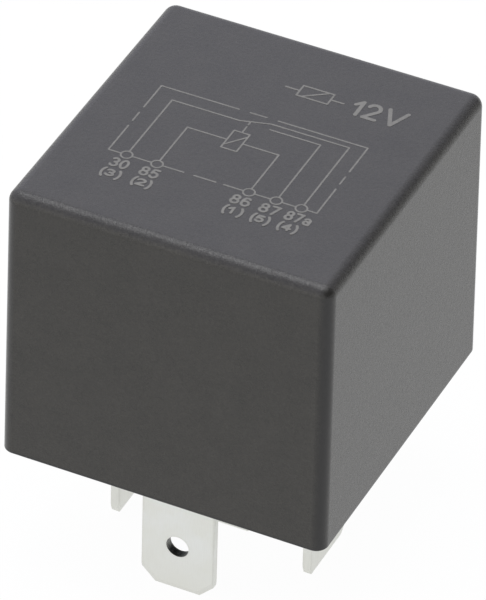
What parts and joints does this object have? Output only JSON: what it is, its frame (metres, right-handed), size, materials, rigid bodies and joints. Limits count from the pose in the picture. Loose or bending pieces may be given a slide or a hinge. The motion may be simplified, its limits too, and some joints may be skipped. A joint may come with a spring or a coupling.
{
  "type": "automotive relay",
  "caption": "Plug-in automotive changeover relay: dark moulded case printed with a circuit diagram, blade terminals below, coil, hinged armature and contacts inside.",
  "frame": {"origin": "centre of the seating plane, where the case rim and the underside of the base meet the socket", "axes": "+Z from the blades into the case, +X to the right of the circuit diagram as it is read, -Y towards blade 87, with blade 30 at +Y"},
  "size_m": [0.028, 0.0292, 0.0368],
  "materials": {
    "case_plastic": "black moulded thermoplastic with a fine spark-eroded grain",
    "base_plastic": "black glass-filled moulding",
    "sealing_epoxy": "cast black epoxy, smooth",
    "tinned_blade": "stamped brass strip, matt tin plated",
    "soft_iron": "soft iron, zinc plated",
    "bobbin_plastic": "natural moulded polyamide",
    "enamelled_copper": "enamelled copper wire",
    "spring_bronze": "rolled spring bronze",
    "contact_silver": "silver alloy",
    "rivet_steel": "zinc plated steel"
  },
  "bodies": {
    "housing": {"cover": "case_plastic", "base": "base_plastic", "sealing_compound": "sealing_epoxy", "terminal_30": "tinned_blade", "terminal_85": "tinned_blade", "terminal_86": "tinned_blade", "terminal_87": "tinned_blade", "terminal_87a": "tinned_blade", "yoke": "soft_iron", "core": "soft_iron", "bobbin": "bobbin_plastic", "winding": "enamelled_copper", "coil_lead_85": "enamelled_copper", "coil_lead_86": "enamelled_copper", "contact_87": "contact_silver", "contact_87a": "contact_silver", "spring_rivets": "rivet_steel"},
    "armature": {"armature": "soft_iron", "contact_spring": "spring_bronze", "moving_contact": "contact_silver", "armature_rivets": "rivet_steel"}
  },
  "joints": [
    {"name": "armature_tilt", "type": "hinge", "parent": "housing", "child": "armature", "pos_m": [0, 0.01027, 0.01882], "axis": [1, 0, 0], "range_deg": [0, 1.8], "stiffness_Nm_per_rad": 0.1, "springref_deg": -5.73, "deforming": ["contact_spring"]}
  ]
}
